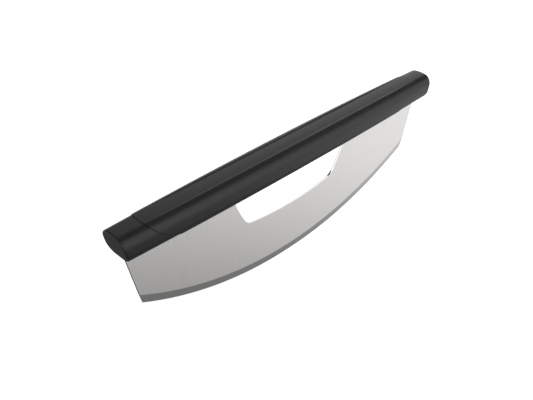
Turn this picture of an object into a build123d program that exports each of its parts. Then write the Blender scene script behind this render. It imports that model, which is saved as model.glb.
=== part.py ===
from build123d import *
import os
from math import asin, degrees, sqrt

# A rocking pizza knife: a curved steel blade under a long two-handed handle.
# +X runs along the handle, +Y through the blade's thickness, +Z up.
# The origin is the lowest point of the cutting edge, in the middle of the blade.
# All sizes are in millimetres.

# Handle form, as the end caps show it
handle_length = 355.0
handle_width_middle = 30.7
handle_width_end = 25.8
handle_height = 24.1
handle_base_z = 91.5
top_fall_at_end = 1.2
top_crown_radius = 48.5
base_rise_at_end = 0.3
end_lean = 4.8
end_bulge = 0.5
top_corner_radius = 9.0
base_corner_radius = 8.7
end_edge_radius = 1.2

# Grip: a soft sleeve that stands proud of the end caps
grip_proud = 0.5
shell_wall = 2.4
seam_radius = 70.4
seam_centre_inset = 77.1
seam_centre_above_base = 68.0
seam_groove = 0.3
panel_width = 13.9
panel_depth = 1.05
panel_wall_slope = 1.0

# Core: two half shells that clamp the tang
core_wall = 2.6
rib_thickness = 2.0
pocket_pairs = 6
boss_radius = 4.2
locator_radius = 3.0

# Blade
blade_thickness = 2.0
edge_radius = 335.0
tip_inset = 19.1
tip_corner_radius = 1.0
shoulder_inset = 7.2
shoulder_above_base = 2.0
tang_inset = 16.5
tang_gap = 0.3
tang_corner_radius = 5.0
grind_height = 7.3
edge_thickness = 0.25
rim_chamfer = 0.2

# Window between the blade and the handle
window_top_x = 69.2
window_corner_x = 51.1
window_bottom_z = 52.0
window_bottom_radius = 307.0
window_side_bulge = 1.6
window_corner_radius = 9.0

# Fasteners: machine screws into threaded inserts
screw_radius = 1.5
screw_length = 12.0
screw_head_radius = 2.75
screw_head_height = 1.8
screw_socket_width = 2.0
screw_socket_depth = 1.0
screw_seat_y = 7.0
insert_radius = 2.2
insert_length = 5.5
insert_inset = 0.5

# Clearances
tang_clearance = 0.1
locator_clearance = 0.15
screw_clearance = 0.2
head_clearance = 0.3
overrun = 2.0

# Sizes worked out from the ones above
half_length = handle_length / 2
half_blade = blade_thickness / 2
seam_centre_x = half_length - seam_centre_inset
seam_centre_z = handle_base_z + seam_centre_above_base
tip_x = half_length - tip_inset
tip_z = edge_radius - sqrt(edge_radius**2 - tip_x**2)
shoulder_x = half_length - shoulder_inset
shoulder_z = handle_base_z + shoulder_above_base
tang_half_length = half_length - tang_inset
tang_top_z = handle_base_z + handle_height - shell_wall - core_wall - tang_gap
window_top_z = handle_base_z + shell_wall + core_wall + tang_gap
window_corner_z = (window_bottom_z + window_bottom_radius
                   - sqrt(window_bottom_radius**2 - window_corner_x**2))
core_half_length = half_length - shell_wall
pocket_pitch = (core_half_length - core_wall - end_lean) / pocket_pairs
screw_z = (window_top_z + tang_top_z) / 2
screw_places = [side * (pocket + 1 / 2) * pocket_pitch
                for pocket in range(pocket_pairs - 1, 0, -2) for side in (-1, 1)]


def front_face(outline):
    """A face drawn in front view, where the drawing's x and y are X and Z."""
    return Plane.XZ * make_face(outline)


def through(face, depth):
    """The face made a solid, by depth to each side of the blade's mid plane."""
    return extrude(face, depth, both=True)


def cylinder_across(x, z, radius, y_from, y_to):
    """A cylinder along Y between two places."""
    start = Plane(origin=(x, y_from, z), z_dir=(0, 1, 0))
    return extrude(start * Circle(radius), y_to - y_from)


def crowned_bar(reach, wide, top, deep, grow):
    """A long bar with a crowned top, bent so that the top falls towards both ends."""
    crown = top_crown_radius + grow
    half_bar = wide + overrun
    crown_end = top - crown + sqrt(crown**2 - half_bar**2)
    end_view = Curve() + [
        ThreePointArc((-half_bar, crown_end), (0, top), (half_bar, crown_end)),
        Polyline((half_bar, crown_end), (half_bar, deep), (-half_bar, deep),
                 (-half_bar, crown_end)),
    ]
    half = half_length + grow
    bend = (half**2 + top_fall_at_end**2) / (2 * top_fall_at_end)
    axis = Axis((0, 0, top - bend), (0, 1, 0))
    swing = degrees(asin((reach + overrun) / (deep - top + bend)))
    first_end = (Plane.YZ * make_face(end_view)).rotate(axis, -swing)
    return revolve(first_end, axis, 2 * swing)


def end_cut(half, high, deep, top_end, base_end):
    """All that lies between the two leaning, slightly bulging ends."""
    tall = top_end - base_end
    slant = sqrt(end_lean**2 + tall**2)
    end_radius = (slant**2 / 4 + end_bulge**2) / (2 * end_bulge)
    centre_back = end_radius - end_bulge
    centre_x = half - end_lean / 2 - centre_back * tall / slant
    centre_z = (top_end + base_end) / 2 + centre_back * end_lean / slant
    middle = (high + deep) / 2
    high_x, middle_x, deep_x = [centre_x + sqrt(end_radius**2 - (z - centre_z)**2)
                                for z in (high, middle, deep)]
    outline = Curve() + [
        Line((-high_x, high), (high_x, high)),
        ThreePointArc((high_x, high), (middle_x, middle), (deep_x, deep)),
        Line((deep_x, deep), (-deep_x, deep)),
        ThreePointArc((-deep_x, deep), (-middle_x, middle), (-high_x, high)),
    ]
    return through(front_face(outline), handle_width_middle)


def handle_form(grow, end_round=0, square_top=False):
    """The barrel-shaped handle, grown or shrunk all round by one wall."""
    half = half_length + grow
    reach = half + overrun
    wide = handle_width_middle / 2 + grow
    narrow_by = (handle_width_middle - handle_width_end) / 2 * (reach / half_length)**2
    top = handle_base_z + handle_height + grow
    base = handle_base_z - grow
    rise_at_reach = base_rise_at_end * (reach / half)**2
    high = top + overrun
    deep = base - overrun

    plan_view = Curve() + [
        ThreePointArc((-reach, wide - narrow_by), (0, wide), (reach, wide - narrow_by)),
        Line((reach, wide - narrow_by), (reach, narrow_by - wide)),
        ThreePointArc((reach, narrow_by - wide), (0, -wide), (-reach, narrow_by - wide)),
        Line((-reach, narrow_by - wide), (-reach, wide - narrow_by)),
    ]
    base_view = Curve() + [
        ThreePointArc((-reach, base + rise_at_reach), (0, base), (reach, base + rise_at_reach)),
        Polyline((reach, base + rise_at_reach), (reach, high), (-reach, high),
                 (-reach, base + rise_at_reach)),
    ]
    form = crowned_bar(reach, wide, top, deep, grow)
    form &= extrude(Pos(0, 0, deep) * make_face(plan_view), high - deep)
    form &= through(front_face(base_view), handle_width_middle)

    long_edges = [edge for edge in form.edges() if edge.length > half]
    long_edges.sort(key=lambda edge: edge.center().Z)
    form = fillet(long_edges[:2], base_corner_radius + grow)
    if not square_top:
        top_edges = [edge for edge in form.edges() if edge.length > half
                     and edge.center().Z > top - top_corner_radius
                     and abs(edge.center().Y) > wide - top_corner_radius / 2]
        form = fillet(top_edges, top_corner_radius + grow)

    form &= end_cut(half, high, deep, top - top_fall_at_end, base + base_rise_at_end)
    if end_round:
        end_faces = [form.faces().sort_by(Axis.X)[0], form.faces().sort_by(Axis.X)[-1]]
        end_edges = [edge for face in end_faces for edge in face.edges()]
        form = fillet(end_edges, end_round)
    return form


def grip_zone(grow):
    """The stretch between the two curved seams, in front view a long slot."""
    outline = SlotCenterToCenter(2 * seam_centre_x, 2 * (seam_radius + grow))
    return through(Plane.XZ * Pos(0, seam_centre_z) * outline, handle_width_middle)


def blade_outline(grow):
    """The blade without its window: curved edge, leaning sides and a tang."""
    corners = [
        (tip_x, tip_z),
        (shoulder_x, shoulder_z),
        (tang_half_length, shoulder_z),
        (tang_half_length, tang_top_z),
        (-tang_half_length, tang_top_z),
        (-tang_half_length, shoulder_z),
        (-shoulder_x, shoulder_z),
        (-tip_x, tip_z),
    ]
    outline = Curve() + [
        ThreePointArc((-tip_x, tip_z), (0, 0), (tip_x, tip_z)),
        Polyline(*corners),
    ]
    face = make_face(outline)
    top_corners = [v for v in face.vertices() if v.Y > tang_top_z - tang_corner_radius]
    face = fillet(top_corners, tang_corner_radius)
    tips = [v for v in face.vertices() if v.Y < tip_z + tip_corner_radius]
    face = fillet(tips, tip_corner_radius)
    if grow:
        face = offset(face, grow)
    return Plane.XZ * face


def window_outline(grow):
    """The window: a shallow curved sill, bulging sides and a flat top."""
    lean = window_top_x - window_corner_x
    side_x = (window_top_x + window_corner_x) / 2 + window_side_bulge
    side_z = (window_top_z + window_corner_z) / 2 - window_side_bulge * lean / (
        window_top_z - window_corner_z)
    outline = Curve() + [
        ThreePointArc((-window_corner_x, window_corner_z), (0, window_bottom_z),
                      (window_corner_x, window_corner_z)),
        ThreePointArc((window_corner_x, window_corner_z), (side_x, side_z),
                      (window_top_x, window_top_z)),
        Line((window_top_x, window_top_z), (-window_top_x, window_top_z)),
        ThreePointArc((-window_top_x, window_top_z), (-side_x, side_z),
                      (-window_corner_x, window_corner_z)),
    ]
    face = make_face(outline)
    sill_corners = [v for v in face.vertices() if v.Y < window_corner_z + window_side_bulge]
    face = fillet(sill_corners, window_corner_radius)
    if grow:
        face = offset(face, grow)
    return Plane.XZ * face


def blade_grind(side):
    """The waste that the grinder takes off one face along the cutting edge."""
    bevel_top = edge_radius - grind_height
    far = edge_radius + overrun
    clear = half_blade + overrun
    section = Polyline(
        (bevel_top, side * half_blade),
        (edge_radius, side * edge_thickness / 2),
        (far, side * edge_thickness / 2),
        (far, side * clear),
        (bevel_top, side * clear),
        close=True,
    )
    centre = Plane(origin=(0, 0, edge_radius), x_dir=(0, 0, -1), z_dir=(1, 0, 0))
    axis = Axis((0, 0, edge_radius), (0, 1, 0))
    return revolve(centre * make_face(section), axis)


def make_blade():
    """One laser-cut plate: window, tang holes, a grind on both faces."""
    blade = through(blade_outline(0), half_blade)
    window = through(window_outline(0), blade_thickness)
    blade -= window
    for x in screw_places:
        hole_radius = locator_radius + locator_clearance
        blade -= cylinder_across(x, screw_z, hole_radius, -blade_thickness, blade_thickness)
    for side in (-1, 1):
        blade -= blade_grind(side)
    rim = [edge for edge in blade.edges()
           if abs(abs(edge.center().Y) - half_blade) < rim_chamfer
           and abs(edge.center().X) < window_top_x
           and window_bottom_z - overrun < edge.center().Z < window_top_z - overrun]
    return chamfer(rim, rim_chamfer)


def blade_room():
    """The slot that the blade needs through the core, the grip and the caps."""
    whole = through(blade_outline(tang_clearance), half_blade + tang_clearance)
    return whole - through(window_outline(-tang_clearance), blade_thickness)


def make_core_half(side, core_form, room):
    """One half shell: pockets between ribs, screw bosses, a seat for the tang."""
    wide = handle_width_middle
    tall = tang_top_z + handle_height
    keep = Pos(0, side * wide / 2, tall / 2) * Box(handle_length, wide, tall)
    half = core_form & keep
    hollow = handle_form(-shell_wall - core_wall, square_top=True)
    for number in range(-pocket_pairs, pocket_pairs):
        pocket = Pos((number + 1 / 2) * pocket_pitch, side * wide / 2, tall / 2) * Box(
            pocket_pitch - rib_thickness, wide, tall)
        half -= hollow & pocket
    seat = side * (half_blade + tang_clearance)
    for x in screw_places:
        boss = cylinder_across(x, screw_z, boss_radius, seat, side * wide / 2)
        half += boss & core_form
    half -= room
    for x in screw_places:
        if side < 0:
            tip = half_blade + tang_clearance
            half += cylinder_across(x, screw_z, locator_radius, seat, tip)
            deep = insert_inset + insert_length
            half -= cylinder_across(x, screw_z, insert_radius, -deep, tip + overrun)
            bolt_end = screw_seat_y - screw_length - screw_clearance
            half -= cylinder_across(x, screw_z, screw_radius, bolt_end, 0)
        else:
            hole = screw_radius + screw_clearance
            half -= cylinder_across(x, screw_z, hole, 0, handle_width_middle)
            head = screw_head_radius + head_clearance
            half -= cylinder_across(x, screw_z, head, screw_seat_y, handle_width_middle)
    return half


def make_inserts():
    """Threaded brass inserts, one in each boss of the front half."""
    outer = [cylinder_across(x, screw_z, insert_radius, -insert_inset - insert_length,
                             -insert_inset) for x in screw_places]
    bores = [cylinder_across(x, screw_z, screw_radius, -handle_width_middle, 0)
             for x in screw_places]
    return Compound([ring - bore for ring, bore in zip(outer, bores)])


def make_screws():
    """Socket screws that draw the back half onto the front half."""
    screws = []
    for x in screw_places:
        shank = cylinder_across(x, screw_z, screw_radius, screw_seat_y - screw_length, screw_seat_y)
        head_top = screw_seat_y + screw_head_height
        head = cylinder_across(x, screw_z, screw_head_radius, screw_seat_y, head_top)
        start = Plane(origin=(x, head_top - screw_socket_depth, screw_z), z_dir=(0, 1, 0))
        socket = extrude(start * RegularPolygon(screw_socket_width / 2, 6, major_radius=False),
                         screw_socket_depth)
        screws.append(shank + head - socket)
    return Compound(screws)


def panel_pocket():
    """The shallow flat panel on top, which fades out as the handle falls away."""
    top = handle_base_z + handle_height + grip_proud
    floor = top - panel_depth
    half_floor = panel_width / 2
    rise = (panel_depth + overrun) * panel_wall_slope
    section = Polyline(
        (-half_floor, floor),
        (half_floor, floor),
        (half_floor + rise, top + overrun),
        (-half_floor - rise, top + overrun),
        close=True,
    )
    return extrude(Plane.YZ * make_face(section), half_length, both=True)


def make_grip(core_form, room):
    """The soft sleeve between the seams, closed under the window."""
    sleeve = handle_form(grip_proud) & grip_zone(-seam_groove / 2)
    return sleeve - core_form - room - panel_pocket()


def make_end_caps(core_form, room):
    """The hard caps, which slide over the core from each end."""
    shell = handle_form(0, end_edge_radius) - grip_zone(seam_groove / 2) - core_form - room
    solids = shell.solids().sort_by(Axis.X)
    return solids[0], solids[-1]


core_form = handle_form(-shell_wall)
room = blade_room()
cap_left, cap_right = make_end_caps(core_form, room)
parts = {
    "blade": make_blade(),
    "core_front": make_core_half(-1, core_form, room),
    "core_back": make_core_half(1, core_form, room),
    "threaded_inserts": make_inserts(),
    "core_screws": make_screws(),
    "soft_grip": make_grip(core_form, room),
    "end_cap_left": cap_left,
    "end_cap_right": cap_right,
}

os.makedirs("parts", exist_ok=True)
for node, shape in parts.items():
    export_step(shape, f"parts/{node}.step")
    print(node, len(shape.solids()), round(shape.volume, 1))
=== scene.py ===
# %% [markdown]
# A rocking pizza knife, dressed for its portrait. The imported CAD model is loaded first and
# never moved or reshaped. Everything made here is in metres, in the same frame: X runs along
# the handle, Y through the blade, Z up, and the origin is the lowest point of the cutting
# edge.

# %% Load the frame
from math import pi, radians

import bpy
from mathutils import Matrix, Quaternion, Vector


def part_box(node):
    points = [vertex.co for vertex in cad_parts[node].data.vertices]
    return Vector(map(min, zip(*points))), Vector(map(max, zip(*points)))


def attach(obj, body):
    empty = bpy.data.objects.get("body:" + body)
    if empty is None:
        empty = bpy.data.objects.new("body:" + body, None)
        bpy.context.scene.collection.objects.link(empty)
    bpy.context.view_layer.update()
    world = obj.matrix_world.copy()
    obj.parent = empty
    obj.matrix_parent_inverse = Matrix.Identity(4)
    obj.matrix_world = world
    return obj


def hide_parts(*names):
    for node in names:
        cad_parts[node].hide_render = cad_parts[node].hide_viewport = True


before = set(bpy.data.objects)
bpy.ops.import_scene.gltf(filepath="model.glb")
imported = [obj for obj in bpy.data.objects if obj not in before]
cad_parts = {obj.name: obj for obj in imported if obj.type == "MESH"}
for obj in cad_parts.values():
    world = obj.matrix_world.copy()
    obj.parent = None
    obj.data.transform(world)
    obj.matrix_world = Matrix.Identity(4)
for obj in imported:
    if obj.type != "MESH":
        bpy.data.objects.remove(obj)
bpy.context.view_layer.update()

MM = 0.001
print("CAD nodes:", sorted(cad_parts))

# %% [markdown]
# The camera stands in front of the knife's left end and looks down on it through a normal
# 50 mm lens, so the far end looks clearly smaller than the near one. Its place, aim and small
# roll come from fitting the blade's arc, its window and the handle to the photograph.

# %% Camera
camera_place = Vector((-380.95, -338.06, 420.74)) * MM
camera_aim = Vector((-13.86, 14.43, 53.07)) * MM
camera_roll = radians(1.319)
camera_lens = 49.76
camera_near, camera_far = 10 * MM, 20.0


def add_camera():
    """A camera at the photograph's place, with no depth of field."""
    data = bpy.data.cameras.new("camera")
    data.lens = camera_lens
    data.clip_start, data.clip_end = camera_near, camera_far
    camera = bpy.data.objects.new("camera", data)
    camera.location = camera_place
    camera.rotation_mode = "QUATERNION"
    level = (camera_aim - camera_place).to_track_quat("-Z", "Y")
    camera.rotation_quaternion = level @ Quaternion((0, 0, 1), camera_roll)
    bpy.context.scene.collection.objects.link(camera)
    bpy.context.scene.camera = camera


add_camera()
print("camera stands", round((camera_aim - camera_place).length / MM), "mm from its aim")

# %% [markdown]
# The handle's skin follows one rule, so it is made with Geometry Nodes and not by hand: a long
# barrel whose section is a box with a crowned top and round corners, a little lower and narrower
# towards its ends. A rule is formulas, and formulas drawn as nodes are hard to read. So a small
# class lets Python's own plus, minus and times place the Math nodes. It serves the materials too.

# %% Formulas as nodes
class Field:
    """One value of a node tree. Arithmetic on it adds Math nodes to the tree."""

    def __init__(self, tree, socket):
        self.tree, self.socket = tree, socket

    def math(self, operation, *others):
        """A Math node that works on this value and the others, fields or plain numbers."""
        node = self.tree.nodes.new("ShaderNodeMath")
        node.operation = operation
        for place, value in enumerate((self, *others)):
            if isinstance(value, Field):
                self.tree.links.new(value.socket, node.inputs[place])
            else:
                node.inputs[place].default_value = value
        return Field(self.tree, node.outputs[0])

    def __add__(self, other):
        return self.math("ADD", other)

    def __sub__(self, other):
        return self.math("SUBTRACT", other)

    def __mul__(self, other):
        return self.math("MULTIPLY", other)

    def __truediv__(self, other):
        return self.math("DIVIDE", other)

    def __rsub__(self, other):
        return self * -1 + other

    __radd__ = __add__
    __rmul__ = __mul__

    def squared(self):
        return self * self

    def root(self):
        return self.math("SQRT")

    def at_least(self, other):
        return self.math("MAXIMUM", other)

    def at_most(self, other):
        return self.math("MINIMUM", other)

    def above(self, limit):
        """1 where the value is above the limit, 0 elsewhere."""
        return self.math("GREATER_THAN", limit)

    def part(self, start, end):
        """0 before start, 1 after end and a straight ramp between them."""
        return ((self - start) / (end - start)).at_least(0).at_most(1)

    def eased(self):
        """A ramp from 0 to 1 made soft at both ends."""
        return self.squared() * (3 - self * 2)

    def quarter_sine(self):
        """A share from 0 to 1 as the sine of that part of a quarter turn."""
        return (self * (pi / 2)).math("SINE")

    def quarter_cosine(self):
        """The same for the cosine, which falls from 1 to 0."""
        return (self * (pi / 2)).math("COSINE")

    def mixed(self, other, share):
        """This value where share is 0, the other one where it is 1."""
        return self + (other - self) * share


print("formulas can place", bpy.types.ShaderNodeMath.bl_rna.name, "nodes")

# %% [markdown]
# A Geometry Nodes tree with named inputs can be used for several pieces: here the grip and both
# end caps. Each modifier gets its own values, set by the socket's identifier, before Blender
# evaluates the object for the first time. The result is then kept as a plain mesh.

# %% Start a tree and use it
def start_tree(name, sizes):
    """A geometry node tree with one named number input for each size."""
    tree = bpy.data.node_groups.new(name, "GeometryNodeTree")
    for label, value in sizes.items():
        made = tree.interface.new_socket(label, in_out="INPUT", socket_type="NodeSocketFloat")
        made.default_value = value
    group = tree.nodes.new("NodeGroupInput")
    return tree, group, {label: Field(tree, group.outputs[label]) for label in sizes}


def start_rule(name, sizes):
    """A tree as above that takes a material and gives out geometry."""
    tree, group, size = start_tree(name, sizes)
    add = tree.interface.new_socket
    add("Geometry", in_out="OUTPUT", socket_type="NodeSocketGeometry")
    add("Material", in_out="INPUT", socket_type="NodeSocketMaterial")
    return tree, group, size


def add_node(tree, kind, settings=None, **inputs):
    """A node with its settings, and its inputs given by name as a socket or a value."""
    node = tree.nodes.new(kind)
    for key, value in (settings or {}).items():
        setattr(node, key, value)
    for label, value in inputs.items():
        socket = node.inputs[label.replace("_", " ")]
        if isinstance(value, Field):
            value = value.socket
        if isinstance(value, bpy.types.NodeSocket):
            tree.links.new(value, socket)
        else:
            socket.default_value = value
    return node


def use_rule(tree, name, sizes, material):
    """Runs the tree with these sizes and returns a plain mesh object with no modifier."""
    start = bpy.data.objects.new(name, bpy.data.meshes.new(name))
    bpy.context.scene.collection.objects.link(start)
    modifier = start.modifiers.new("rule", "NODES")
    modifier.node_group = tree
    for item in tree.interface.items_tree:
        if item.in_out == "INPUT" and item.name in sizes:
            modifier[item.identifier] = sizes[item.name]
        elif item.in_out == "INPUT" and item.name == "Material":
            modifier[item.identifier] = material
    evaluated = start.evaluated_get(bpy.context.evaluated_depsgraph_get())
    mesh = bpy.data.meshes.new_from_object(evaluated)
    start.modifiers.clear()
    start.data = mesh
    mesh.name = name
    return start


# %% [markdown]
# These are the sizes of the barrel. What the frame already knows is read from it: how wide the
# handle is and where it stands. Only what a box can't tell is written here. The grip follows the
# same sizes as the caps and stands proud of them all round.

# %% Sizes of the handle
grip_low, grip_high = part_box("soft_grip")

grip_proud = 0.5 * MM
shell_wall = 2.4 * MM
top_crown_radius = 48.5 * MM
top_corner_radius = 9.0 * MM
base_corner_radius = 8.7 * MM
top_fall = 1.2 * MM
base_rise = 0.3 * MM
end_lean = 4.8 * MM
end_bulge = 0.5 * MM
end_edge_radius = 1.2 * MM
width_fall = 2.45 * MM
lip_radius = 0.25 * MM
panel_half_width = 6.4 * MM
panel_wall = 1.1 * MM
panel_depth = 1.05 * MM
panel_round = 0.8

handle_height = 24.1 * MM
handle_half_length = 177.5 * MM
handle_half_width = grip_high.y - grip_proud
handle_base = grip_low.z + grip_proud
handle_top = handle_base + handle_height

seam_radius = 70.4 * MM
seam_groove = 0.15 * MM
seam_centre_x = 100.4 * MM
seam_centre_above_base = 68.0 * MM
seam_centre_z = handle_base + seam_centre_above_base

slot_half_width = 1.1 * MM
slot_in_grip = (67.2 * MM, 125.0 * MM)
slot_in_cap = (110.0 * MM, 170.3 * MM)

barrel = {
    "Half length": handle_half_length,
    "Half width": handle_half_width,
    "Width fall": width_fall,
    "Top": handle_top,
    "Top fall": top_fall,
    "Crown radius": top_crown_radius,
    "Base": handle_base,
    "Base rise": base_rise,
    "Top radius": top_corner_radius,
    "Base radius": base_corner_radius,
    "End lean": end_lean,
    "End bulge": end_bulge,
    "Seam radius": seam_radius,
    "Seam groove": seam_groove,
    "Seam centre x": seam_centre_x,
    "Seam centre z": seam_centre_z,
    "Panel half width": panel_half_width,
    "Panel wall": panel_wall,
    "Panel floor": handle_top + grip_proud - panel_depth,
    "Panel round": panel_round,
    "Wall": shell_wall,
    "Lip radius": lip_radius,
    "End radius": end_edge_radius,
    "Slot half width": slot_half_width,
    "Slot from": slot_in_cap[0],
    "Slot to": slot_in_cap[1],
}
grip = dict(barrel)
for label in ("Half length", "Half width", "Top", "Crown radius", "Top radius",
              "Base radius", "Wall"):
    grip[label] += grip_proud
grip["Base"] -= grip_proud
grip["Slot from"], grip["Slot to"] = slot_in_grip
print("handle, mm:", {label: round(value / MM, 2) for label, value in barrel.items()})

# %% [markdown]
# The section of the barrel is one closed line of columns. Each column has a number, counted from
# the middle of the top, down one side, to the middle of the base. Stretches of those numbers
# stand for the panel's floor, its wall, the top corner, the side, the base corner and the base.
# The palm panel is a shallow dish in the crowned top: its wall is a soft step, and its floor is a
# little less round than the crown. Columns are whole numbers, so a limit half a step past the
# last column of one stretch tells it from the next stretch.

# %% The section rule
section_steps = {"floor": 6, "wall": 5, "corner": 12, "side": 4, "heel": 14, "base": 4}
section_place = {"Column": 0.0, "Place": 0.0, "Depth": 0.0, "Panel": 0.0}
half_step = 0.5


def marks_of(steps):
    """First and last number of each stretch of rows or columns, and the whole count."""
    marks, count = {}, 0
    for stretch, number in steps.items():
        marks[stretch] = (count, count + number)
        count += number
    return marks, count


section_marks, half_columns = marks_of(section_steps)


def build_section_rule():
    """Where a column of the section lies: its distance to the side and its height."""
    tree, group, size = start_tree("barrel section", {**barrel, **section_place})
    column, depth = size["Column"], size["Depth"]
    share = (size["Place"] / size["Half length"]).squared()
    wide = size["Half width"] - depth - size["Width fall"] * share
    top = size["Top"] - depth - size["Top fall"] * share
    base = size["Base"] + depth + size["Base rise"] * share
    crown = size["Crown radius"] - depth
    corner = size["Top radius"] - depth
    heel = size["Base radius"] - depth
    corner_mid = wide - corner
    corner_mid_z = top - crown + ((crown - corner).squared() - corner_mid.squared()).root()
    meeting = (corner_mid / (crown - corner)).math("ARCSINE")
    floor, wall, bend, even, turn_under, inward = (
        column.part(*section_marks[stretch]) for stretch in section_steps)

    across = size["Panel half width"] * floor + size["Panel wall"] * wall
    on_crown = top - crown + (crown.squared() - across.squared()).root()
    past = (across - corner_mid).at_least(0).at_most(corner)
    past_crown = corner_mid_z + (corner.squared() - past.squared()).root()
    lid = on_crown.mixed(past_crown, across.above(crown * meeting.math("SINE")))
    floor_z = size["Panel floor"] - (top - on_crown) * size["Panel round"]
    sink = (lid - floor_z).at_least(0) * (1 - wall.eased()) * size["Panel"]

    panel_rim = size["Panel half width"] + size["Panel wall"]
    start = ((panel_rim - corner_mid) / corner).at_most(1).math("ARCSINE").at_least(meeting)
    angle = start + (pi / 2 - start) * bend
    corner_y = corner_mid + corner * angle.math("SINE")
    corner_z = corner_mid_z + corner * angle.math("COSINE")

    low_y = wide - heel + heel * turn_under.quarter_cosine() - (wide - heel) * inward
    low_z = base + heel - heel * turn_under.quarter_sine()
    side_z = corner_z.mixed(low_z, (1 - (even * pi).math("COSINE")) / 2)

    on_corner = column.above(section_marks["wall"][1] + half_step)
    on_side = column.above(section_marks["corner"][1] + half_step)
    on_heel = column.above(section_marks["side"][1] + half_step)
    y = across.mixed(corner_y, on_corner).mixed(wide, on_side).mixed(low_y, on_heel)
    z = (lid - sink).mixed(corner_z, on_corner).mixed(side_z, on_side).mixed(low_z, on_heel)
    end = None
    for label, value in (("Across", y), ("Height", z)):
        tree.interface.new_socket(label, in_out="OUTPUT", socket_type="NodeSocketFloat")
        end = end or tree.nodes.new("NodeGroupOutput")
        tree.links.new(value.socket, end.inputs[label])
    return tree


section_rule = build_section_rule()


def section_point(tree, size, column, place, depth, panel):
    """The section rule, used as one node of another tree."""
    node = add_node(tree, "GeometryNodeGroup", {"node_tree": section_rule})
    given = {**size, "Column": column, "Place": place, "Depth": depth, "Panel": panel}
    for socket in node.inputs:
        value = given[socket.name]
        if isinstance(value, Field):
            tree.links.new(value.socket, socket)
        else:
            socket.default_value = value
    return Field(tree, node.outputs["Across"]), Field(tree, node.outputs["Height"])


print("a section has", 2 * half_columns, "columns and", len(section_rule.nodes), "nodes")

# %% [markdown]
# The seams are arcs of a circle drawn in front view, so a seam's place along the handle depends
# on the height alone. A lip that is rounded in the seam's own direction has to be stretched
# along X where the seam runs nearly level, or it would look pinched there. The end face leans by
# a straight line and bulges by a shallow curve that is highest half way up.

# %% The seam rule and the end rule
peak_of_share = 0.25


def seam_x(size, z, shift):
    """The seam's place along the handle at a height, moved off it by half the groove."""
    radius = size["Seam radius"] + shift
    reach = (radius.squared() - (size["Seam centre z"] - z).squared()).root()
    return size["Seam centre x"] + reach, size["Lip radius"] * radius / reach


def end_x(size, z, wall):
    """The end face's place along the handle at a height: leaning, with a slight bulge."""
    top = size["Top"] - size["Top fall"] - wall
    base = size["Base"] + size["Base rise"] + wall
    rise = (z - base) / (top - base)
    foot = size["Half length"] - wall - size["End lean"]
    bulge = rise * (1 - rise) / peak_of_share
    return foot + size["End lean"] * rise + size["End bulge"] * bulge


print("the seam's circle has a radius of", round(seam_radius / MM, 1), "mm")


# %% [markdown]
# Both trees start from a flat grid whose rows run along the handle and whose columns run round
# it. The rows of the grip fold back on themselves inside the wall, so it comes out as a closed
# tube with real thickness. A cap's rows start in the middle of its inner end and finish in the
# middle of its outer end, so it is a closed cup. Where the blade's legs leave the handle, a
# box cuts the slot that they need.

# %% Grid, slot and end of a tree
merge_distance = 0.002 * MM
slot_box_walls = 4


def grid_of(tree, rows):
    """A grid, and for its points the row, the column from the top and the side of the handle."""
    columns = 2 * half_columns
    grid = add_node(tree, "GeometryNodeMeshGrid", Size_X=float(rows), Size_Y=float(columns),
                    Vertices_X=rows + 1, Vertices_Y=columns + 1)
    place = add_node(tree, "GeometryNodeInputPosition")
    split = add_node(tree, "ShaderNodeSeparateXYZ", Vector=place.outputs[0])
    row = (Field(tree, split.outputs["X"]) + rows / 2).math("ROUND")
    turned = Field(tree, split.outputs["Y"]).math("ROUND")
    return grid, row, turned.math("ABSOLUTE"), turned.math("SIGN")


def finish_rule(tree, group, grid, points, slots):
    """Moves the grid's points, closes it, cuts the slots and hands it on as a smooth mesh."""
    joined = add_node(tree, "ShaderNodeCombineXYZ", X=points[0], Y=points[1], Z=points[2])
    placed = add_node(tree, "GeometryNodeSetPosition", Geometry=grid.outputs["Mesh"],
                      Position=joined.outputs[0])
    closed = add_node(tree, "GeometryNodeMergeByDistance", Geometry=placed.outputs[0],
                      Distance=merge_distance)
    turned = add_node(tree, "GeometryNodeFlipFaces", Mesh=closed.outputs[0])
    cut = add_node(tree, "GeometryNodeMeshBoolean", {"operation": "DIFFERENCE"})
    tree.links.new(turned.outputs[0], cut.inputs["Mesh 1"])
    for slot in slots:
        tree.links.new(slot, cut.inputs["Mesh 2"])
    real = add_node(tree, "GeometryNodeRealizeInstances", Geometry=cut.outputs["Mesh"])
    smooth = add_node(tree, "GeometryNodeSetShadeSmooth", Geometry=real.outputs[0])
    painted = add_node(tree, "GeometryNodeSetMaterial", Geometry=smooth.outputs[0],
                       Material=group.outputs["Material"])
    end = tree.nodes.new("NodeGroupOutput")
    tree.links.new(painted.outputs[0], end.inputs[0])


def slot_box(tree, size, hand):
    """The box that cuts the blade's slot through the underside, on one side of the middle."""
    length = size["Slot to"] - size["Slot from"]
    middle = (size["Slot to"] + size["Slot from"]) * 0.5 * hand
    tall = size["Wall"] * slot_box_walls
    extent = add_node(tree, "ShaderNodeCombineXYZ", X=length, Y=size["Slot half width"] * 2,
                      Z=tall)
    centre = add_node(tree, "ShaderNodeCombineXYZ", X=middle, Z=size["Base"])
    box = add_node(tree, "GeometryNodeMeshCube", Size=extent.outputs[0])
    return add_node(tree, "GeometryNodeTransform", Geometry=box.outputs["Mesh"],
                    Translation=centre.outputs[0]).outputs[0]


print("a slot is", round(2 * slot_half_width / MM, 1), "mm wide")


# %% [markdown]
# The grip is soft rubber moulded over the core. Its rows are counted from the middle of the
# inner surface, outwards over one lip, and back along the outer skin; the other half mirrors
# this. The height of a point depends on its place along the handle and the seam's place on the
# height, so the two formulas are run in turn, which settles after three rounds.

# %% The grip's tree
grip_steps = {"inner": 24, "wall": 1, "lip": 5, "support": 1, "outer": 100}
nominal_seam_share = 0.8
grip_rounds = 3


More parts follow.
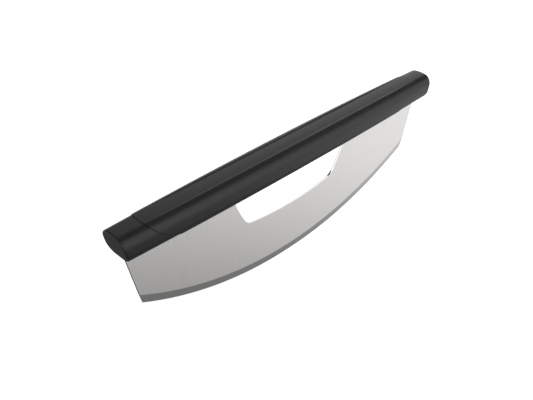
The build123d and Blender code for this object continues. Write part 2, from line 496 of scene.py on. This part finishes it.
def build_grip_rule():
    """The tree of the grip: a closed tube that ends in rounded lips at both seams."""
    marks, half_rows = marks_of(grip_steps)
    tree, group, size = start_rule("grip rule", barrel)
    grid, row, column, side = grid_of(tree, 2 * half_rows)
    end = (half_rows - row).math("SIGN")
    step = half_rows - (row - half_rows).math("ABSOLUTE")
    inner, wall, lip, support, outer = (step.part(*marks[name]) for name in grip_steps)

    lip_radius = size["Lip radius"]
    depth = (size["Wall"] - lip_radius) * (1 - wall) + lip_radius * (1 - lip.quarter_sine())
    x = size["Half length"] * nominal_seam_share
    for _ in range(grip_rounds):
        y, z = section_point(tree, size, column, x, depth, lip)
        seam, lip_x = seam_x(size, z, size["Seam groove"] * -0.5)
        x = (seam * inner - lip_x * (1 - lip.quarter_cosine()) - lip_x * support
             - (seam - lip_x * 2) * outer)
    y, z = section_point(tree, size, column, x, depth, lip)
    slots = [slot_box(tree, size, hand) for hand in (-1, 1)]
    finish_rule(tree, group, grid, (x * end, y * side, z), slots)
    return tree


grip_rule = build_grip_rule()
print("the grip's tree has", len(grip_rule.nodes), "nodes")

# %% [markdown]
# The end caps are hard plastic. A cap shares the barrel's section, but it has no palm panel. It
# starts at the seam and closes the handle with a leaning end face whose edge is rounded off.

# %% The cap's tree
cap_steps = {"inner face": 8, "inner": 10, "wall": 1, "lip": 4, "support": 1, "outer": 24,
             "turn in": 1, "round": 6, "outer face": 10}
cap_rounds = 4


def build_cap_rule():
    """The tree of an end cap: a closed cup from the seam to the leaning end face."""
    marks, rows = marks_of(cap_steps)
    tree, group, size = start_rule("cap rule", {**barrel, "Hand": 1.0})
    grid, row, column, side = grid_of(tree, rows)
    (face_in, inner, wall, lip, support, outer, turn_in, round_off,
     face_out) = (row.part(*marks[name]) for name in cap_steps)

    lip_radius, end_radius, hand = size["Lip radius"], size["End radius"], size["Hand"]
    depth = ((size["Wall"] - lip_radius) * (1 - wall) + lip_radius * (1 - lip.quarter_sine())
             + end_radius * (1 - round_off.quarter_cosine()))
    spread = face_in * (1 - face_out)
    middle = (size["Top"] + size["Base"]) * 0.5
    x = size["Half length"] * nominal_seam_share
    for _ in range(cap_rounds):
        y, z = section_point(tree, size, column, x, depth, 0.0)
        y, z = y * spread, middle.mixed(z, spread)
        seam, lip_x = seam_x(size, z, size["Seam groove"] * 0.5)
        start = end_x(size, z, size["Wall"])
        stop = end_x(size, z, 0.0)
        x = (start + (seam - start) * inner + lip_x * (1 - lip.quarter_cosine())
             + lip_x * support + (stop - end_radius * 2 - seam - lip_x * 2) * outer
             + end_radius * turn_in + end_radius * round_off.quarter_sine())
    slots = [slot_box(tree, size, hand)]
    finish_rule(tree, group, grid, (x * hand, y * side * hand, z), slots)
    return tree


cap_rule = build_cap_rule()
print("a cap's tree has", len(cap_rule.nodes), "nodes")

# %% [markdown]
# Every finish is a node material on Object coordinates, which are millimetres on the real part
# once they are scaled. Two kinds of texture are enough: a cloud, the same size every way, and a
# streak, which is a cloud pulled long in one direction, as brushing and grinding leave it.

# %% Tools for finishes
soft_detail, fine_detail = 2.0, 3.0
mix_share, mix_low, mix_high, mix_colour = 0, 6, 7, 2


def start_finish(name, colour, roughness, metallic=0.0):
    """A material whose main shader has its even values set on its own sockets."""
    material = bpy.data.materials.new(name)
    material.use_nodes = True
    tree = material.node_tree
    shader = tree.nodes["Principled BSDF"]
    shader.inputs["Base Color"].default_value = (*colour, 1)
    shader.inputs["Roughness"].default_value = roughness
    shader.inputs["Metallic"].default_value = metallic
    place = tree.nodes.new("ShaderNodeTexCoord").outputs["Object"]
    return material, tree, shader, place


def cloud(tree, place, grain, detail=soft_detail):
    """Soft noise from 0 to 1 whose lumps have this size along X, Y and Z, in metres."""
    scaled = add_node(tree, "ShaderNodeMapping", Vector=place,
                      Scale=tuple(1 / length for length in grain))
    noise = add_node(tree, "ShaderNodeTexNoise", Vector=scaled.outputs[0], Scale=1.0,
                     Detail=detail)
    return Field(tree, noise.outputs["Fac"])


def swing(noise, width):
    """A noise from 0 to 1 made to swing round zero, this wide in all."""
    return (noise - 0.5) * width


def tint(tree, shader, low, high, share):
    """Base colour between two colours, by a share from 0 to 1."""
    mix = add_node(tree, "ShaderNodeMix", {"data_type": "RGBA"})
    mix.inputs[mix_low].default_value = (*low, 1)
    mix.inputs[mix_high].default_value = (*high, 1)
    tree.links.new(share.socket, mix.inputs[mix_share])
    tree.links.new(mix.outputs[mix_colour], shader.inputs["Base Color"])


def relief(tree, shader, height, depth):
    """Bump from a height of 0 to 1 that stands for this depth in metres."""
    bump = add_node(tree, "ShaderNodeBump", Height=height, Distance=depth, Strength=1.0)
    tree.links.new(bump.outputs[0], shader.inputs["Normal"])


print("clouds have", soft_detail, "layers of detail, fine ones", fine_detail)


# %% [markdown]
# The grip is soft-touch rubber and the end caps are hard moulded plastic, both near black. One
# even colour would do from afar, but a real moulding has a fine grain from its mould and a gloss
# that drifts a little, so both get those. The core inside is a coarser and paler plastic.

# %% Handle finishes
moulded_specular = 0.25
drift_grain = (22 * MM, 9 * MM, 9 * MM)
shade_drift = 0.1


def moulded(name, shade, roughness, grain, depth, cloudiness):
    """A dark moulding: fine mould grain, and a shade and gloss that drift slowly."""
    material, tree, shader, place = start_finish(name, (shade,) * 3, roughness)
    shader.inputs["Specular IOR Level"].default_value = moulded_specular
    fine = cloud(tree, place, (grain,) * 3, detail=fine_detail)
    drift = cloud(tree, place, drift_grain)
    tint(tree, shader, (shade * (1 - shade_drift),) * 3, (shade * (1 + shade_drift),) * 3, drift)
    gloss = roughness + swing(fine, cloudiness) + swing(drift, cloudiness)
    tree.links.new(gloss.socket, shader.inputs["Roughness"])
    relief(tree, shader, fine, depth)
    print(name, "has a grain of", round(grain / MM, 2), "mm")
    return material


grip_finish = moulded("soft grip rubber", shade=0.0165, roughness=0.25, grain=0.45 * MM,
                      depth=0.0005 * MM, cloudiness=0.02)
cap_finish = moulded("end cap plastic", shade=0.0165, roughness=0.24, grain=0.60 * MM,
                     depth=0.0004 * MM, cloudiness=0.015)
core_finish = moulded("core plastic", shade=0.045, roughness=0.55, grain=1.20 * MM,
                      depth=0.020 * MM, cloudiness=0.10)

# %% [markdown]
# The blade is stainless plate. Its faces are brushed from top to bottom, so the streaks run
# along Z and the highlights spread along X. The bevel is ground along the edge, which leaves
# finer marks that follow the arc, and its colour is made darker as painted shade for the dark
# surroundings it mirrors. The window's rim is polished, and its colour is raised to near white
# as a painted highlight. The rim at the two ends is darker. All of that is one material, which
# tells the surfaces apart by where they are and which way they face.

# %% Sizes of the blade's finish
edge_radius = 335.0 * MM
grind_height = 7.3 * MM
grind_softness = 0.05 * MM
outer_end_from = 150 * MM
rim_facing = (0.80, 0.90)

steel_tint = (1.0, 0.988, 0.976)
# The bevel's lower level is painted shade, and the window rim's level near white is a painted
# highlight.
flat_level, bevel_painted_shade_level, rim_painted_highlight_level, end_rim_level = 0.885, 0.745, 0.98, 0.45
brushed_roughness, rim_polish = 0.34, 0.18
steel_anisotropy = 0.5

coarse_grain = (0.9 * MM, 9 * MM, 60 * MM)
fine_grain = (0.25 * MM, 9 * MM, 18 * MM)
broad_grain = (40 * MM, 9 * MM, 25 * MM)
scratch_grain = (0.5 * MM, 9 * MM, 30 * MM)
fine_share = 0.6
streak_contrast, broad_contrast, scratch_contrast = 0.22, 0.03, 0.04
streak_gloss = 0.10
streak_depth = 0.003 * MM
print("the bevel is", round(grind_height / MM, 1), "mm high")

# %% [markdown]
# The bevel is told by its distance to the centre of the edge's arc. The rims are told by how far
# they turn away from the Y axis. Their shades are laid over each other in that order.

# %% Blade finish
def brushed_steel():
    """Brushed steel: painted shade on the ground bevel, a painted highlight on the polished
    window rim, darker end rims.
    """
    material, tree, shader, place = start_finish("brushed steel", steel_tint,
                                                 brushed_roughness, 1.0)
    split = add_node(tree, "ShaderNodeSeparateXYZ", Vector=place)
    x, z = (Field(tree, split.outputs[axis]) for axis in ("X", "Z"))
    from_centre = (x.squared() + (z - edge_radius).squared()).root()
    grind_line = edge_radius - grind_height
    bevel = from_centre.part(grind_line - grind_softness, grind_line + grind_softness)
    facing = add_node(tree, "ShaderNodeNewGeometry").outputs["Normal"]
    turned = add_node(tree, "ShaderNodeSeparateXYZ", Vector=facing)
    across = Field(tree, turned.outputs["Y"]).math("ABSOLUTE")
    rim = (1 - across.part(*rim_facing)) * (1 - bevel)
    outer = x.math("ABSOLUTE").above(outer_end_from)

    coarse = cloud(tree, place, coarse_grain, detail=fine_detail)
    fine = cloud(tree, place, fine_grain)
    broad = cloud(tree, place, broad_grain)
    streaks = coarse.mixed(fine, fine_share)
    along_edge = x / from_centre * edge_radius
    ground = add_node(tree, "ShaderNodeCombineXYZ", X=along_edge, Z=from_centre)
    scratches = cloud(tree, ground.outputs[0], scratch_grain)

    flat_shade = flat_level + swing(streaks, streak_contrast) + swing(broad, broad_contrast)
    # The bevel's shade is its grinding marks laid over a level that is painted darker as shade.
    bevel_marks_and_painted_shade = bevel_painted_shade_level + swing(scratches, scratch_contrast)
    # The window rim is painted near white as a highlight, and the end rims are made darker.
    shade = flat_shade.mixed(rim_painted_highlight_level, rim).mixed(end_rim_level, rim * outer)
    shade = shade.mixed(bevel_marks_and_painted_shade, bevel)
    tint(tree, shader, (0, 0, 0), steel_tint, shade)
    rough = brushed_roughness + swing(streaks, streak_gloss) - rim * rim_polish
    tree.links.new(rough.socket, shader.inputs["Roughness"])
    relief(tree, shader, streaks * (1 - bevel), streak_depth)
    shader.inputs["Anisotropic"].default_value = steel_anisotropy
    return material


blade_finish = brushed_steel()
print("the steel's material has", len(blade_finish.node_tree.nodes), "nodes")

# %% [markdown]
# The fasteners inside the handle are hidden, but they are real pieces, so they get turned brass
# and plated steel. Both are metals with fine rings, as a lathe leaves them.

# %% Fastener finishes
ring_grain = (2 * MM, 0.15 * MM, 2 * MM)
ring_depth = 0.01 * MM
ring_shade = 0.85


def turned_metal(name, colour, roughness):
    """A bare metal with the fine rings of a lathe."""
    material, tree, shader, place = start_finish(name, colour, roughness, 1.0)
    rings = cloud(tree, place, ring_grain)
    tint(tree, shader, tuple(c * ring_shade for c in colour), colour, rings)
    relief(tree, shader, rings, ring_depth)
    return material


brass_finish = turned_metal("turned brass", colour=(0.78, 0.60, 0.30), roughness=0.28)
screw_finish = turned_metal("plated screw steel", colour=(0.62, 0.62, 0.64), roughness=0.30)
print("fastener finishes:", brass_finish.name, "and", screw_finish.name)

# %% [markdown]
# The CAD nodes whose shape is right keep it and only get a finish. The grip and the caps are
# made by their trees and stand for their CAD solids, because the trees give them an even, smooth
# skin with rounded lips at the seams. Each of them prints its box beside its solid's box.

# %% Dress the nodes
crease_angle = radians(40)
node_finishes = {
    "blade": blade_finish,
    "core_front": core_finish,
    "core_back": core_finish,
    "threaded_inserts": brass_finish,
    "core_screws": screw_finish,
}
for node, finish in node_finishes.items():
    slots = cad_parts[node].material_slots
    for slot in slots:
        slot.material = finish
    print(node, "has", len(slots), "material slots")


def stand_in(piece, node):
    """A made piece that rides on the body, replaces a CAD node and takes its finish."""
    piece.data.set_sharp_from_angle(angle=crease_angle)
    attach(piece, "root")
    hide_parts(node)
    corners = [vertex.co for vertex in piece.data.vertices]
    for axis in range(3):
        made = [min(c[axis] for c in corners), max(c[axis] for c in corners)]
        solid = [corner[axis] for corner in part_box(node)]
        print(piece.name, "XYZ"[axis], [round(v / MM, 2) for v in made],
              "solid", [round(v / MM, 2) for v in solid])


stand_in(use_rule(grip_rule, "grip_sleeve", grip, grip_finish), "soft_grip")
for hand, name in ((-1.0, "left"), (1.0, "right")):
    cap = use_rule(cap_rule, "cap_" + name, {**barrel, "Hand": hand}, cap_finish)
    stand_in(cap, "end_cap_" + name)

# %% [markdown]
# The knife stands over a plain pale floor, which takes its soft shadow. The photograph's
# background is pure white, so the floor glows, but for the camera only, and the knife gets no
# light from that glow. Reflections don't see the floor: the room below draws what they show.

# %% Floor
floor_half_size = 3.0
floor_colour = (0.80, 0.80, 0.80)
floor_roughness = 0.9
floor_glow = 0.75


def add_floor():
    """A pale floor that takes the knife's soft shadow and is white to the camera."""
    half = floor_half_size
    corners = [(-half, -half, 0), (half, -half, 0), (half, half, 0), (-half, half, 0)]
    mesh = bpy.data.meshes.new("floor")
    mesh.from_pydata(corners, [], [(0, 1, 2, 3)])
    floor = bpy.data.objects.new("floor", mesh)
    floor.visible_glossy = False
    bpy.context.scene.collection.objects.link(floor)
    material, tree, shader, place = start_finish("floor", floor_colour, floor_roughness)
    path = tree.nodes.new("ShaderNodeLightPath")
    seen = Field(tree, path.outputs["Is Camera Ray"])
    shader.inputs["Emission Color"].default_value = (1, 1, 1, 1)
    tree.links.new((seen * floor_glow).socket, shader.inputs["Emission Strength"])
    mesh.materials.append(material)


add_floor()
print("the floor is", 2 * floor_half_size, "m wide")

# %% [markdown]
# Two square soft lights at a plain level shape the matt side of the handle and give the shadow
# its soft edge. They are hidden from reflections, because on a body this round each would show
# as a hard bright square, and the photograph has none.

# %% Lights
def add_soft_light(name, place, aim, width, watts):
    """A square soft light that isn't itself mirrored in the steel or the handle."""
    data = bpy.data.lights.new(name, "AREA")
    data.size = width
    data.energy = watts
    light = bpy.data.objects.new(name, data)
    light.location = place
    direction = Vector(aim) - Vector(place)
    light.rotation_mode = "QUATERNION"
    light.rotation_quaternion = direction.to_track_quat("-Z", "Y")
    light.visible_glossy = False
    bpy.context.scene.collection.objects.link(light)


add_soft_light("right light", place=(0.75, -0.20, 0.80), aim=(0.1, 0.0, 0.05), width=0.5,
               watts=6)
add_soft_light("front light", place=(-0.1, -0.7, 0.9), aim=(0, 0, 0.05), width=0.8, watts=6)

# %% [markdown]
# Brushed steel and black gloss show little but what they mirror. A room could be built of real
# walls, but a sky drawn by direction is simpler, since each shade of the knife belongs to one
# direction. Pale walls give the handle's top its sheen. A dark strip of ceiling that runs along
# the knife draws the dark line down the handle's front shoulder, and the ceiling's dark far
# corner draws the spot in the corner of the window. A bright band in front lights the handle's
# side. The ground is dark near the knife and bright further off, so the blade runs from grey on
# the left to nearly white on the right. Matt surfaces get an even light, and the camera white.
# A pair of numbers is where a ramp starts and ends, and x, y or z says along what. A lift is how
# steeply a ray climbs across the knife, whatever its way along the knife.

# %% Room
room_even = 0.30
wall_light, wall_back_light = 1.0, 0.32
wall_back_y, wall_back_z = (0.40, 0.85), (-0.10, 0.10)
left_x, left_dims = (0.62, 0.38), 0.31

ceiling_light = 0.06
ceiling_front_lift, ceiling_back_lift = (0.74, 0.94), (0.78, 1.0)
corner_x, corner_z = (0.30, 0.05), (0.45, 0.60)
least_reach = 0.01

band_light, band_lift, band_spread = 0.75, 0.20, (0.20, 0.75)
band_y, band_fades_x = (-0.25, -0.60), (0.62, 0.86)

ground_light, skirt_light = 0.215, 0.92
ground_z, skirt_z = (-0.745, -0.52), (-0.52, 0.10)


def light_room():
    """What gloss shows: pale walls, a dark strip of ceiling, a bright band and the ground."""
    world = bpy.data.worlds.new("studio")
    bpy.context.scene.world = world
    world.use_nodes = True
    tree = world.node_tree
    towards = tree.nodes.new("ShaderNodeTexCoord").outputs["Generated"]
    split = add_node(tree, "ShaderNodeSeparateXYZ", Vector=towards)
    x, y, z = (Field(tree, split.outputs[axis]) for axis in "XYZ")
    lift = z / (y.squared() + z.squared()).root().at_least(least_reach)

    left = x.part(*left_x)
    behind = y.part(*wall_back_y) * z.part(*wall_back_z) * left
    off_band = (lift - band_lift).math("ABSOLUTE").part(*band_spread)
    band = y.part(*band_y) * (1 - off_band) * (1 - x.part(*band_fades_x)) * band_light
    walls = wall_light + behind * (wall_back_light - wall_light) + band

    front_strip, back_strip = lift.part(*ceiling_front_lift), lift.part(*ceiling_back_lift)
    strip = front_strip.mixed(back_strip, y.above(0)).eased()
    ceiling = strip.at_least(x.part(*corner_x) * z.part(*corner_z))

    far_ground = z.part(*ground_z).eased() * (skirt_light - ground_light)
    ground = (ground_light + far_ground) * (1 - left * left_dims)
    above_ground = z.part(*skirt_z)
    mirrored = walls.mixed(ceiling_light, ceiling) * ground.mixed(1, above_ground)

    path = tree.nodes.new("ShaderNodeLightPath")
    glossy, seen, through = (Field(tree, path.outputs[f"Is {kind} Ray"])
                             for kind in ("Glossy", "Camera", "Transmission"))
    lit = room_even + (mirrored - room_even) * glossy
    sky = tree.nodes["Background"]
    sky.inputs["Color"].default_value = (1, 1, 1, 1)
    tree.links.new(lit.mixed(1, seen.at_least(through)).socket, sky.inputs["Strength"])
    print("the room is drawn by", len(tree.nodes), "nodes")


light_room()
bpy.context.scene.view_settings.view_transform = "Standard"
